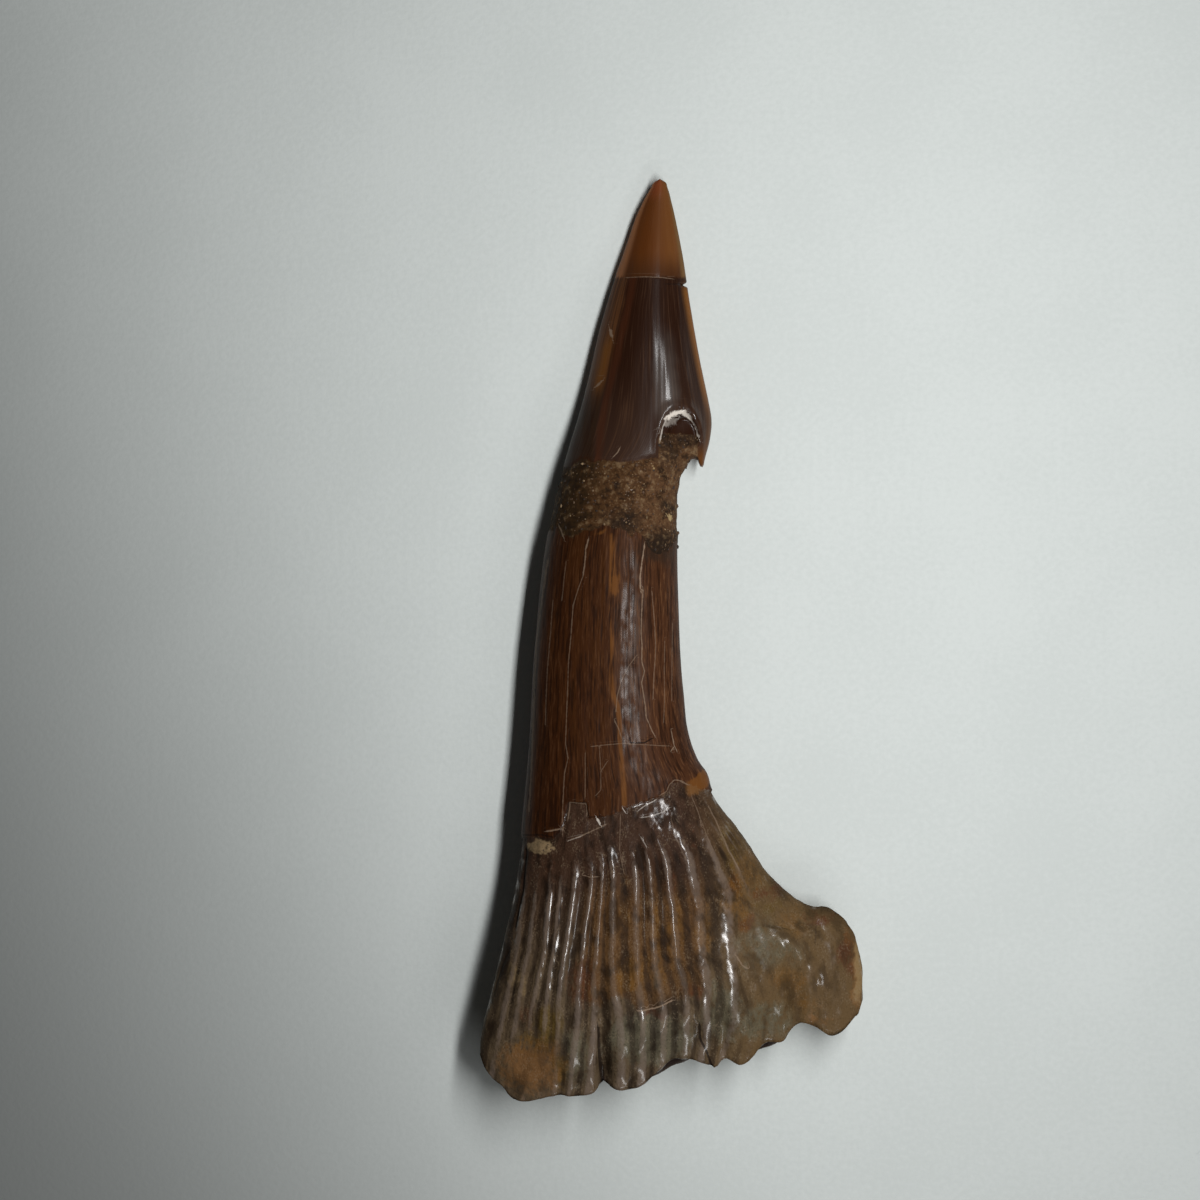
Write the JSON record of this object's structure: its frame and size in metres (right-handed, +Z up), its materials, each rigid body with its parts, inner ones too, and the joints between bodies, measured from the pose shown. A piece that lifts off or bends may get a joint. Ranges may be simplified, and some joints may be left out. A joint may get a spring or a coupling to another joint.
{
  "type": "fossil sawfish rostral tooth",
  "caption": "Curved fossil rostral tooth with a pointed barbed crown, gritty neck, oval shaft and fluted root that flares into lobes, lying on its side.",
  "frame": {"origin": "middle of the tooth's footprint, on the surface it rests on", "axes": "+Y from the root towards the tip, +X to the side of the barb, +Z up from the surface it rests on"},
  "size_m": [0.023, 0.0554, 0.0067],
  "materials": {
    "fossil": "polished brown fossil enamel and fossil bone, satin"
  },
  "bodies": {
    "root": {"tooth": "fossil"}
  },
  "joints": []
}
